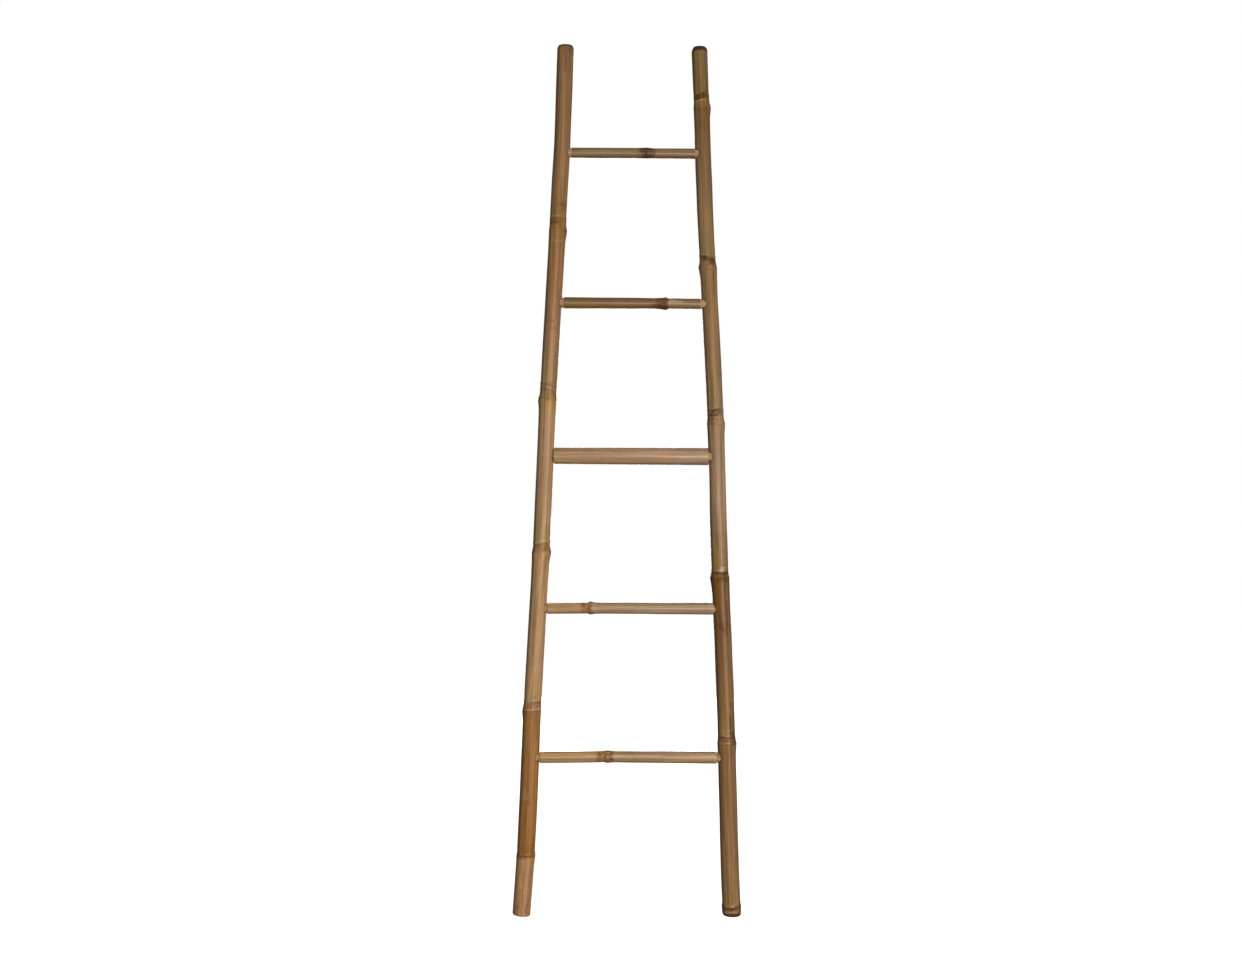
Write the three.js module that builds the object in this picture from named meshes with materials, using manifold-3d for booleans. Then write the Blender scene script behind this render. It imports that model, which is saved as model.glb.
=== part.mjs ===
// A leaning ladder rack made of bamboo: two crooked rails, five rungs, and a nail at each joint.
// Millimetres. +Z is up, the front faces -Y, and the floor is at Z = 0.

import * as THREE from 'three';
import { mergeVertices } from 'three/addons/utils/BufferGeometryUtils.js';
import Module from 'manifold-3d';

const wasm = await Module();
wasm.setup();

// ---------------------------------------------------------------------------------------------
// Driving dimensions
// ---------------------------------------------------------------------------------------------

// A rail is a list of stations from its foot to its top. "along" is the height, "side" and
// "depth" say where the middle of the culm is in X and Y, and "ridge" marks a node and says how
// far its ring stands out from the surface.
const LEFT_RAIL = {
  name: 'left_rail',
  stations: [
    { along: 0, side: -230, depth: 0, diameter: 39.5 },
    { along: 127, side: -220.5, depth: 1.5, diameter: 39.7, ridge: 0.6 },
    { along: 250, side: -214.4, depth: 2.5, diameter: 39.9 },
    { along: 449, side: -206.5, depth: 3, diameter: 39.1, ridge: 0.9 },
    { along: 793, side: -186.5, depth: 0.5, diameter: 37.7, ridge: 1.7 },
    { along: 1127, side: -172, depth: -2, diameter: 36.5, ridge: 1.3 },
    { along: 1495, side: -150.5, depth: -1, diameter: 36.5, ridge: 0.7 },
    { along: 1600, side: -145.5, depth: 0, diameter: 36.5 },
    { along: 1680, side: -140.5, depth: 0.5, diameter: 35.7 },
    { along: 1900, side: -133, depth: 1, diameter: 36.3 },
  ],
  topBevel: { length: 6, inset: 3.2 },
  topWallDepth: 12,
};

const RIGHT_RAIL = {
  name: 'right_rail',
  stations: [
    { along: 0, side: 230, depth: 0, diameter: 39.9 },
    { along: 22, side: 229.2, depth: 0, diameter: 40.1, ridge: 1 },
    { along: 100, side: 225.8, depth: -0.6, diameter: 39.7 },
    { along: 376, side: 218.5, depth: -2, diameter: 39.1, ridge: 0.9 },
    { along: 430, side: 217.6, depth: -1.6, diameter: 38.5 },
    { along: 620, side: 210.2, depth: 0.2, diameter: 38.1 },
    { along: 737, side: 204.5, depth: 1, diameter: 37.9, ridge: 1.5 },
    { along: 890, side: 199.9, depth: 2, diameter: 36.5 },
    { along: 960, side: 198.8, depth: 2.5, diameter: 35.9 },
    { along: 1074, side: 194.8, depth: 2, diameter: 36.3, ridge: 1.2 },
    { along: 1130, side: 193.2, depth: 1.6, diameter: 36.1 },
    { along: 1415, side: 178.2, depth: -1, diameter: 35.5, ridge: 1.6 },
    { along: 1470, side: 174.6, depth: -0.8, diameter: 34.9 },
    { along: 1625, side: 168.4, depth: 0.2, diameter: 35.3 },
    { along: 1764, side: 164.4, depth: 1, diameter: 33.9, ridge: 1 },
    { along: 1897, side: 159.2, depth: 1.5, diameter: 34.9 },
  ],
  topBevel: { length: 9, inset: 4 },
  topWallDepth: 0,
};

// Rungs from the top of the ladder to the bottom. "gap" is how far the shoulder of an end stops
// short of the rail's side. A shoulder with no gap, or with a negative one, sinks into a seat cut
// in the leaning side of the rail. "tenon" is the diameter of the shaved part, and a negative
// "depth" shifts the end towards the front. A node may lift the middle of a rung. Its "reach"
// scales the length of its swell, and is negative where the culm grew leftwards.
const RUNGS = [
  {
    bore: 11,
    left: { height: 1666, depth: 0, gap: 3.6, diameter: 22.6, tenon: 21 },
    right: { height: 1663, depth: -2.9, gap: -1.2, diameter: 22.6, tenon: 21 },
    node: { along: 45, rise: 0.2, diameter: 22.8, ridge: 0.6, reach: 0.4 },
  },
  {
    bore: 11,
    left: { height: 1338, depth: -1, gap: 5.2, diameter: 25.2, tenon: 22.4 },
    right: { height: 1335, depth: -4.6, gap: 3.2, diameter: 23, tenon: 21.2 },
    node: { along: 86, rise: 0.4, diameter: 23, ridge: 2.4, reach: 0.4 },
  },
  {
    bore: 14,
    left: { height: 1004, depth: 0, gap: -0.3, diameter: 35.8, tenon: 22 },
    right: { height: 1002, depth: -1.2, gap: 0.2, diameter: 37.8, tenon: 22 },
  },
  {
    bore: 11,
    left: { height: 670.5, depth: -1, gap: 1.2, diameter: 24.2, tenon: 20 },
    right: { height: 670, depth: -2.2, gap: -1.4, diameter: 26, tenon: 21.6 },
    node: { along: -80, rise: 1, diameter: 24.4, ridge: 2.2, reach: -0.45 },
  },
  {
    bore: 12,
    left: { height: 345, depth: -1.5, gap: 1.4, diameter: 24.8, tenon: 20.8 },
    right: { height: 345.2, depth: -4, gap: 3, diameter: 26.6, tenon: 22.4 },
    node: { along: -44, rise: 2, diameter: 25.4, ridge: 1.4, reach: -0.45 },
  },
];

// How the surface swells around a node: distance along the culm and share of the ridge. The
// culm pinches in above the ridge and flares slowly below it.
const NODE_SWELL = [
  [-60, 0],
  [-24, 0.35],
  [-7, 0.75],
  [0, 1],
  [5, 0.4],
  [14, -0.25],
  [28, 0],
];

const RAIL_WALL = 6;
const RAIL_SIDES = 20;
const FOOT_BEVEL = { length: 2.5, inset: 1.4 };
const BEVEL_MIDDLE = 0.4;

const NODE_WALL = 5;
const CHAMBER_ROUNDING = 8;
const CHAMBER_END_SHARE = 0.6;
const CHAMBER_SIDES = 12;
const CUT_PAST = 5;

const RUNG_SIDES = 16;
const SHOULDER_BEVEL = 0.8;
const TENON_PAST_MIDDLE = 6;
const FIT_GAP = 0.3;

const NAIL_LENGTH = 24;
const NAIL_DIAMETER = 2;
const NAIL_POINT_LENGTH = 3;
const NAIL_HEAD_DIAMETER = 4.4;
const NAIL_HEAD_THICKNESS = 0.9;
const NAIL_SIDES = 8;

const MERGE_DISTANCE = 1e-4;

const RAIL_BAMBOO = new THREE.MeshStandardMaterial({ color: 0x9c744a, roughness: 0.38, metalness: 0 });
const RUNG_BAMBOO = new THREE.MeshStandardMaterial({ color: 0xa9835a, roughness: 0.4, metalness: 0 });
const NAIL_STEEL = new THREE.MeshStandardMaterial({ color: 0x8f8c86, roughness: 0.35, metalness: 1 });

// ---------------------------------------------------------------------------------------------
// Solids of revolution along a crooked line
// ---------------------------------------------------------------------------------------------

// The side, depth and diameter of a culm at one place along it.
function culmAt(stations, along) {
  const last = stations.length - 1;
  const upper = stations.findIndex((station) => station.along > along);
  const next = stations[Math.max(1, upper < 0 ? last : upper)];
  const previous = stations[stations.indexOf(next) - 1];
  const share = (along - previous.along) / (next.along - previous.along);
  return {
    side: THREE.MathUtils.lerp(previous.side, next.side, share),
    depth: THREE.MathUtils.lerp(previous.depth, next.depth, share),
    diameter: THREE.MathUtils.lerp(previous.diameter, next.diameter, share),
  };
}

// A closed solid around +Z. The profile lists [along, radius] from the lower end to the upper
// one, flat ends are added, and "middle" gives each ring's place in X and Y.
function revolve(profile, sides, middle = () => ({ side: 0, depth: 0 })) {
  const first = profile[0][0];
  const last = profile[profile.length - 1][0];
  const outline = [[first, 0], ...profile, [last, 0]];
  const points = outline.map(([along, radius]) => new THREE.Vector2(radius, along));
  const geometry = new THREE.LatheGeometry(points, sides).rotateX(Math.PI / 2);
  const position = geometry.attributes.position;
  for (let i = 0; i < position.count; i += 1) {
    const { side, depth } = middle(position.getZ(i));
    position.setX(i, position.getX(i) + side);
    position.setY(i, position.getY(i) + depth);
  }
  return geometry;
}

// A three.js geometry as a solid that can be joined and cut. Triangles that close up on the
// axis of a lathed shape are dropped.
function solidFrom(geometry) {
  geometry.deleteAttribute('normal');
  geometry.deleteAttribute('uv');
  const merged = mergeVertices(geometry, MERGE_DISTANCE);
  const corners = merged.index.array;
  const kept = [];
  for (let i = 0; i < corners.length; i += 3) {
    const [a, b, c] = corners.slice(i, i + 3);
    if (a !== b && b !== c && c !== a) {
      kept.push(a, b, c);
    }
  }
  return new wasm.Manifold(new wasm.Mesh({
    numProp: 3,
    vertProperties: new Float32Array(merged.attributes.position.array),
    triVerts: new Uint32Array(kept),
  }));
}

function meshFrom(solid, name, material) {
  const { vertProperties, triVerts } = solid.getMesh();
  const geometry = new THREE.BufferGeometry();
  geometry.setAttribute('position', new THREE.BufferAttribute(vertProperties, 3));
  geometry.setIndex(new THREE.BufferAttribute(triVerts, 1));
  geometry.computeVertexNormals();
  const mesh = new THREE.Mesh(geometry, material);
  mesh.name = name;
  return mesh;
}

// ---------------------------------------------------------------------------------------------
// Culms
// ---------------------------------------------------------------------------------------------

// The radius of the outer surface, nodes included, at one place along a culm.
function culmRadius(stations, along) {
  let radius = culmAt(stations, along).diameter / 2;
  for (const node of stations.filter((station) => station.ridge)) {
    const distance = (along - node.along) / (node.reach ?? 1);
    const upper = NODE_SWELL.findIndex(([place]) => place > distance);
    if (upper > 0) {
      const [start, low] = NODE_SWELL[upper - 1];
      const [end, high] = NODE_SWELL[upper];
      radius += node.ridge * THREE.MathUtils.mapLinear(distance, start, end, low, high);
    }
  }
  return radius;
}

// The outer surface as [along, radius] rings: one at each station, and the swell at each node.
function culmRings(stations, from, to) {
  const places = new Set([from, to]);
  for (const station of stations) {
    places.add(station.along);
    if (station.ridge) {
      const reach = station.reach ?? 1;
      NODE_SWELL.forEach(([distance]) => places.add(station.along + distance * reach));
    }
  }
  return [...places]
    .filter((along) => along >= from && along <= to)
    .sort((a, b) => a - b)
    .map((along) => [along, culmRadius(stations, along)]);
}

// The hollow between two walls across a culm, with rounded ends. An end past the culm's own end
// is left open.
function chamber(stations, from, to, radiusAt) {
  const inside = (along) => along > from + CHAMBER_ROUNDING && along < to - CHAMBER_ROUNDING;
  const places = stations.map((station) => station.along).filter(inside);
  const start = stations[0].along;
  const end = stations[stations.length - 1].along;
  const profile = places.map((along) => [along, radiusAt(along)]);
  if (from < start) {
    profile.unshift([from, radiusAt(from)]);
  } else {
    const full = radiusAt(from + CHAMBER_ROUNDING);
    profile.unshift([from, full * CHAMBER_END_SHARE], [from + CHAMBER_ROUNDING, full]);
  }
  if (to > end) {
    profile.push([to, radiusAt(to)]);
  } else {
    const full = radiusAt(to - CHAMBER_ROUNDING);
    profile.push([to - CHAMBER_ROUNDING, full], [to, full * CHAMBER_END_SHARE]);
  }
  return revolve(profile, CHAMBER_SIDES, (along) => culmAt(stations, along));
}

// The chambers of a culm whose walls stand at the given places, from below its start to past
// its end.
function chambers(stations, walls, radiusAt) {
  const start = stations[0].along - CUT_PAST;
  const end = stations[stations.length - 1].along + CUT_PAST;
  const lower = [start, ...walls.map((along) => along + NODE_WALL / 2)];
  const upper = [...walls.map((along) => along - NODE_WALL / 2), end];
  return lower.map((from, i) => chamber(stations, from, upper[i], radiusAt));
}

// ---------------------------------------------------------------------------------------------
// Joints between rungs and rails
// ---------------------------------------------------------------------------------------------

// Everything that both pieces of a joint need to know. "inward" points from the rail to the rung.
function jointAt(rail, end, inward) {
  const middle = culmAt(rail.stations, end.height);
  const radius = culmRadius(rail.stations, end.height);
  return {
    ...end,
    inward,
    railSide: middle.side,
    railBack: middle.depth + radius,
    shoulder: middle.side + inward * (radius + end.gap),
    tenonEnd: middle.side - inward * TENON_PAST_MIDDLE,
  };
}

function jointsOf(rung) {
  return {
    left: jointAt(LEFT_RAIL, rung.left, 1),
    right: jointAt(RIGHT_RAIL, rung.right, -1),
  };
}

// The hole drilled in a rail for a tenon, with a seat for the shoulder where it meets the rail.
function mortise(joint) {
  const { inward, tenonEnd, shoulder } = joint;
  const hole = joint.tenon / 2 + FIT_GAP;
  const seat = joint.diameter / 2 + FIT_GAP;
  const profile = [
    [tenonEnd - inward * FIT_GAP, hole],
    [shoulder - inward * FIT_GAP, hole],
    [shoulder - inward * FIT_GAP, seat],
    [shoulder + inward * CUT_PAST, seat],
  ];
  const geometry = revolve(inward > 0 ? profile : profile.reverse(), RUNG_SIDES);
  return solidFrom(geometry.rotateY(Math.PI / 2).translate(0, joint.depth, joint.height));
}

// A nail lies along -Y: its head rests on the back of the rail and its point faces the front.
function placeNail(geometry, joint) {
  return geometry.rotateX(-Math.PI / 2).translate(joint.railSide, joint.railBack, joint.height);
}

function nailHole(joint) {
  const radius = NAIL_DIAMETER / 2 + FIT_GAP;
  const ends = [[-CUT_PAST, radius], [NAIL_LENGTH + FIT_GAP, radius]];
  return solidFrom(placeNail(revolve(ends, NAIL_SIDES).rotateX(Math.PI), joint));
}

function nail(name, joint) {
  const profile = [
    [-NAIL_HEAD_THICKNESS - FIT_GAP, NAIL_HEAD_DIAMETER / 2 - FIT_GAP],
    [-FIT_GAP, NAIL_HEAD_DIAMETER / 2],
    [-FIT_GAP, NAIL_DIAMETER / 2],
    [NAIL_LENGTH - NAIL_POINT_LENGTH, NAIL_DIAMETER / 2],
    [NAIL_LENGTH, FIT_GAP],
  ];
  const geometry = placeNail(revolve(profile, NAIL_SIDES).rotateX(Math.PI), joint);
  return meshFrom(solidFrom(geometry), name, NAIL_STEEL);
}

// ---------------------------------------------------------------------------------------------
// Pieces
// ---------------------------------------------------------------------------------------------

// The rings of a rail with both of its ends bevelled.
function railProfile(rail) {
  const end = rail.stations[rail.stations.length - 1].along;
  const { length, inset } = rail.topBevel;
  const rings = culmRings(rail.stations, FOOT_BEVEL.length, end - length);
  const foot = culmRadius(rail.stations, 0) - FOOT_BEVEL.inset;
  const top = culmRadius(rail.stations, end);
  return [
    [0, foot],
    ...rings,
    [end - length * BEVEL_MIDDLE, top - inset * BEVEL_MIDDLE],
    [end, top - inset],
  ];
}

// A rail: a culm with a wall across it at each node, drilled for its tenons and its nails.
function railMesh(rail, joints) {
  const { stations } = rail;
  const end = stations[stations.length - 1].along;
  const radiusAt = (along) => culmAt(stations, along).diameter / 2 - RAIL_WALL;
  const walls = stations.filter((station) => station.ridge).map((station) => station.along);
  if (rail.topWallDepth > 0) {
    walls.push(end - rail.topWallDepth);
  }
  const middle = (along) => culmAt(stations, along);
  let solid = solidFrom(revolve(railProfile(rail), RAIL_SIDES, middle));
  for (const hollow of chambers(stations, walls, radiusAt)) {
    solid = solid.subtract(solidFrom(hollow));
  }
  for (const joint of joints) {
    solid = solid.subtract(mortise(joint)).subtract(nailHole(joint));
  }
  return meshFrom(solid, rail.name, RAIL_BAMBOO);
}

// A rung's stations along X. They go on at the same height and depth through each tenon, so
// that the tenons stay in line with their holes.
function rungStations(rung, left, right) {
  const place = (along, { height, depth, diameter, ridge, reach }) => ({
    along,
    side: -height,
    depth,
    diameter,
    ridge,
    reach,
  });
  const stations = [
    place(left.tenonEnd, left),
    place(left.shoulder, left),
    place(right.shoulder, right),
    place(right.tenonEnd, right),
  ];
  if (rung.node) {
    const share = (rung.node.along - left.shoulder) / (right.shoulder - left.shoulder);
    const height = THREE.MathUtils.lerp(left.height, right.height, share) + rung.node.rise;
    const depth = THREE.MathUtils.lerp(left.depth, right.depth, share);
    stations.splice(2, 0, place(rung.node.along, { ...rung.node, height, depth }));
  }
  return stations;
}

// The tenon and the shoulder at one end of a rung as [along, radius], from the outside in.
function endProfile(joint) {
  const tenon = joint.tenon / 2;
  return [
    [joint.tenonEnd, tenon - SHOULDER_BEVEL],
    [joint.tenonEnd + joint.inward * SHOULDER_BEVEL, tenon],
    [joint.shoulder, tenon],
    [joint.shoulder, joint.diameter / 2 - SHOULDER_BEVEL / 2],
  ];
}

function rungProfile(stations, left, right) {
  const from = left.shoulder + SHOULDER_BEVEL;
  const to = right.shoulder - SHOULDER_BEVEL;
  return [...endProfile(left), ...culmRings(stations, from, to), ...endProfile(right).reverse()];
}

// A rung: a thinner culm along X with a shaved tenon at each end. It is hollow, with a wall
// across it at its node, and open at both ends.
function rungMesh(rung, name) {
  const { left, right } = jointsOf(rung);
  const stations = rungStations(rung, left, right);
  const profile = rungProfile(stations, left, right);
  const middle = (along) => culmAt(stations, along);
  let solid = solidFrom(revolve(profile, RUNG_SIDES, middle).rotateY(Math.PI / 2));
  const walls = rung.node ? [rung.node.along] : [];
  for (const hollow of chambers(stations, walls, () => rung.bore / 2)) {
    solid = solid.subtract(solidFrom(hollow.rotateY(Math.PI / 2)));
  }
  solid = solid.subtract(nailHole(left)).subtract(nailHole(right));
  return meshFrom(solid, name, RUNG_BAMBOO);
}

// ---------------------------------------------------------------------------------------------
// Assembly
// ---------------------------------------------------------------------------------------------

const group = new THREE.Group();
const jointed = RUNGS.map((rung) => ({ rung, ...jointsOf(rung) }));
group.add(railMesh(LEFT_RAIL, jointed.map(({ left }) => left)));
group.add(railMesh(RIGHT_RAIL, jointed.map(({ right }) => right)));
jointed.forEach(({ rung, left, right }, i) => {
  const name = `rung_${i + 1}`;
  group.add(rungMesh(rung, name));
  group.add(nail(`${name}_left_nail`, left));
  group.add(nail(`${name}_right_nail`, right));
});

// The origin is on the floor, in the middle of the object's box.
const box = new THREE.Box3().setFromObject(group);
const centre = box.getCenter(new THREE.Vector3());
group.position.set(-centre.x, -centre.y, 0);

export default group;
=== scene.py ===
"""Looks of a leaning ladder rack made of bamboo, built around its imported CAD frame.

Metres. +Z is up, the front faces -Y and the floor is at Z = 0. Every culm (the two rails and the
five rungs) is lathed anew, finer, around the rings of its CAD node, then drilled where the CAD is.
"""

import math

import bmesh
import bpy
import numpy as np
from mathutils import Matrix, Vector


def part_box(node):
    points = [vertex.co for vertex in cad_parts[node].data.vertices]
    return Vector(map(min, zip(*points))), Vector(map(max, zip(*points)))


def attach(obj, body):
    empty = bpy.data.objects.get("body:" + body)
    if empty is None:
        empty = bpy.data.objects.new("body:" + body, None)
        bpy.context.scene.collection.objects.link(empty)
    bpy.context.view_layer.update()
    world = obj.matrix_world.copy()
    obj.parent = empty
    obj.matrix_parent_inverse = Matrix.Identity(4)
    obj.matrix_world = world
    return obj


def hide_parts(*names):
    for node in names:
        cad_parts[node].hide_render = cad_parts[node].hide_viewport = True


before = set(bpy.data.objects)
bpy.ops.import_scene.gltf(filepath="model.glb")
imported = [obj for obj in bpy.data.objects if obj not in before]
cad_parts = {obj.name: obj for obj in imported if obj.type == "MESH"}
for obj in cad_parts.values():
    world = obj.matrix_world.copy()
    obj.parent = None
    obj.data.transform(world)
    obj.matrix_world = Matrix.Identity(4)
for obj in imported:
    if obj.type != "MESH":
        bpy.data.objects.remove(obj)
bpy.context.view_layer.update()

MM = 0.001

# ==== Driving values ====

RAILS = ("left_rail", "right_rail")
RUNGS = ("rung_1", "rung_2", "rung_3", "rung_4", "rung_5")

RAIL_SEGMENTS = 84
RUNG_SEGMENTS = 64
ROW_STEP = 5 * MM
NODE_ROW_STEP = 0.9 * MM
NODE_REACH_BELOW = 14 * MM
NODE_REACH_ABOVE = 44 * MM
END_ROW_STEP = 1 * MM
END_REACH = 20 * MM

# Materials of a culm, in the order of its material slots.
SKIN, RAW, CUT, PITH = range(4)

# The tones that mark a skin. Some olive and dark marks are painted shade, and some pale ones are
# painted highlight. Each stain multiplies the skin's colour, and "pale" covers it.
STAINS = {
    "warm": (1.02, 0.88, 0.66),
    "green": (0.95, 1.06, 0.78),
    "olive": (0.72, 0.78, 0.55),
    "brown": (0.66, 0.47, 0.30),
    "dark": (0.40, 0.21, 0.09),
}
MARK_TONES = (*STAINS, "pale")


def looks(lip, slant, bud, base, marks, scar=0):
    """The looks of a node, in millimetres above its CAD ring (to the right of it on a rung).

    "scar" and "lip" are the lower and the upper ridge, and "slant" is how much higher they and the
    marks run at turn +90 than at turn -90. A turn is an angle around the culm from its front,
    towards +X on a rail and upwards on a rung. "bud" is the swelling where a branch was trimmed
    off: its turn, its height and how far it stands out. The marks are measured from "base". Each
    is (tone, from, to, strength), then (middle turn, half width) where it doesn't run all the way
    round, and then how much it rises from turn -90 to turn +90.
    """
    return {"scar": scar, "lip": lip, "slant": slant, "bud": bud, "base": base, "marks": marks}


NODES = {
    "left_rail": [
        looks(7, 0.6, (118, 2, 1.2), 3, [
            ("dark", 1.5, 5, 0.4, -22, 50, -2), ("brown", 0, 7, 0.3, -10, 80),
            ("brown", 4, 26, 0.2, 20, 60), ("pale", -22, -4, 0.3, 8, 36), ("dark", 6, 40, 0.4, 52, 7),
            ("dark", -30, 44, 0.25, -74, 8)]),
        looks(19, 0.8, (-96, -3, 1.6), 1.5, [
            ("brown", 3, 18.5, 0.6, 0, 100), ("dark", 12, 18, 0.5, 44, 22),
            ("dark", 4, 34, 0.5, 76, 12), ("pale", -1.2, 1, 0.35, -14, 40),
            ("pale", 19, 23, 0.25, 0, 40), ("dark", -5, -3, 0.2, 0, 90)]),
        looks(23, 2.2, (84, -2, 1.7), 1, [
            # The pale lip is real, and it is made brightest around turn 6 as a painted highlight.
            ("pale", 20, 26.5, 1, 6, 20, 4), ("pale", 19, 22, 0.5, -30, 34, 4),
            ("dark", 16, 19.5, 0.3, -20, 50, 4), ("brown", 1, 20, 0.55, -12, 74),
            ("olive", -20, 60, 0.6, 60, 24), ("dark", 2, 26, 0.45, -66, 14),
            ("dark", -2, 0.6, 0.3, -30, 36), ("dark", -8, 10, 0.35, 80, 14)]),
        looks(33, -7, (-100, -6, 1.9), -1, [
            ("brown", 15, 34, 0.25, 10, 80), ("green", -40, 20, 0.7),
            ("dark", 30, 33, 0.3, -4, 50, -6), ("olive", -30, 60, 0.5, 66, 22),
            ("pale", 24, 28, 0.35, 16, 26, -8), ("dark", 20, 23, 0.3, 10, 50, -5),
            ("dark", 12, 15, 0.35, 30, 44, -5), ("dark", -1.4, 1, 0.4, -6, 16),
            ("dark", 4, 24, 0.4, 70, 14)]),
        looks(26, 1, (92, -5, 1.9), -3, [
            ("brown", 16, 31, 0.65, -22, 50), ("dark", 16, 21, 0.3, -30, 36), ("green", -50, 14, 0.8),
            ("olive", -30, 60, 0.5, 68, 22), ("pale", 32, 35, 0.3, -16, 44),
            ("dark", -14, 8, 0.45, 62, 10), ("warm", -30, 34, 0.7, 36, 9),
            ("pale", -22, -20, 0.25, -6, 50)]),
    ],
    "right_rail": [
        looks(0, 0.5, (-150, -6, 1), 4, scar=-13, marks=[
            ("brown", -13, -4, 0.8, -50, 44, -13), ("brown", -13, -4, 0.8, 50, 44, 13),
            ("brown", -11, -5, 0.7, 0, 32), ("dark", -9, -6, 0.4, 0, 24),
            ("pale", -4, -2, 0.5, -8, 26), ("warm", -20, -8, 0.5), ("pale", -18, -12, 0.4, 0, 46),
            ("dark", -40, -18.5, 1), ("dark", -30, 2, 0.7, -74, 18), ("dark", -30, 2, 0.6, 76, 16)]),
        looks(15, 1.6, (88, -2, 1.5), 3, [
            ("dark", 10.5, 13.5, 0.8, -16, 34, -1), ("brown", 1, 13, 0.6, -14, 42),
            ("dark", 4, 6, 0.35, -10, 36), ("pale", 14, 30, 0.25, -6, 30),
            ("pale", -0.6, 1, 0.35, 16, 16), ("dark", 12, 62, 0.8, 26, 6),
            ("dark", -4, 26, 0.7, 52, 28), ("brown", 20, 90, 0.5, 56, 22)]),
        looks(17, 0.8, (-98, -3, 1.8), 1, [
            # Painted highlight: the pale streaks at turn 25 above this node and at turn 36 below it.
            # The pale lip is real, and it is made brightest at turn 14 as a painted highlight.
            ("pale", 14, 25, 1, 14, 16), ("pale", 14, 17, 0.3, -30, 30), ("pale", 14, 90, 0.3, 25, 7),
            ("pale", -50, -8, 0.2, 36, 6), ("dark", 8, 13.6, 0.8, 6, 74), ("dark", 6, 15, 0.7, 18, 9),
            ("brown", -4, 13, 0.65, 0, 90), ("dark", 0, 2.4, 0.5, 16, 38),
            ("dark", -8, -5.6, 0.35, 0, 50), ("dark", -30, 12, 0.4, -60, 18)]),
        looks(28, 1.6, (86, -4, 1.2), -1, [
            ("dark", 27.5, 32, 0.5, -4, 34, 3), ("dark", 18, 23, 0.5, -10, 30, 2),
            ("brown", 17, 32.5, 0.95, -6, 40), ("pale", 12.5, 14.5, 0.8, 24, 26, 3),
            ("pale", 6.6, 8.2, 0.6, 10, 40), ("pale", 2, 4, 0.7, 22, 28, 3),
            ("brown", 0, 14, 0.5, -40, 28), ("dark", 9, 11, 0.4, -20, 40)]),
        looks(24, -2.4, (-92, -3, 1.8), -1, [
            ("brown", 12, 24, 0.95, 0, 56, -8), ("dark", 15, 23, 0.5, 10, 46, -8),
            ("brown", 7, 15, 0.7, 26, 26, -6), ("dark", 12, 20, 0.5, 34, 16, -8),
            ("pale", 26, 29, 0.3, -20, 38), ("dark", -60, 6, 0.35, 34, 7),
            ("dark", 6, 20, 0.35, 70, 14)]),
        looks(25, 5, (88, -3, 2), -1, [
            ("dark", 18, 30, 0.7, -6, 46, 7), ("dark", 26, 38, 0.7, 32, 10, 6),
            ("brown", 17, 31, 0.6, -20, 56, 6), ("pale", 13, 15, 0.5, -10, 44),
            ("warm", -34, 12, 0.9, 36, 7), ("warm", 10, 24, 1, 62, 14)]),
    ],
    "rung_1": [
        looks(6, 2, (70, -2, 0.6), 0, [
            ("dark", -17, 0, 0.7, 42, 26, 8), ("dark", -1, 15, 0.6, 40, 20, -6),
            ("dark", -8, 9, 0.8, -34, 28), ("dark", -6, 4, 0.5, 6, 26),
            ("brown", -19, 4, 0.75, 40, 50), ("brown", -12, 17, 0.75, -20, 70),
            ("olive", -20, 17, 0.8)]),
    ],
    "rung_2": [
        looks(5, 1, (-74, -2, 1.2), 0, [
            ("dark", -18, 6, 0.8, -44, 30), ("dark", -8, 5, 0.45, 4, 24),
            ("brown", -26, 7, 0.85, -24, 70, 6), ("dark", -5, 3, 0.4, 60, 40),
            # Painted highlight: the two pale streaks to the right of the node.
            ("pale", 4, 18, 0.7, 24, 20, 12), ("pale", 6, 34, 0.5, 14, 12, 8)]),
    ],
    "rung_3": [],
    "rung_4": [
        looks(7, -2, (72, 0, 1.1), 0, [
            ("dark", -18, -9, 0.6, 40, 30), ("dark", -14, -2, 0.45, 6, 16),
            ("dark", 0, 3, 0.6, 30, 50), ("brown", -20, 7, 0.5, 20, 80),
            ("dark", -6, 4, 0.5, -64, 24), ("pale", 4, 9, 0.4, 10, 26)]),
    ],
    "rung_5": [
        looks(7, 1, (70, 2, 0.9), 0, [
            ("dark", -18, -14, 0.7, 16, 40, 10), ("dark", -12, -6, 0.6, 30, 30, -14),
            ("dark", -3, 0, 0.7, -4, 34, 8), ("dark", 4, 9, 0.6, 30, 26, 12),
            ("dark", 8, 12, 0.55, -14, 22, -10), ("brown", -22, 16, 0.7, 10, 80)]),
    ],
}


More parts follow.
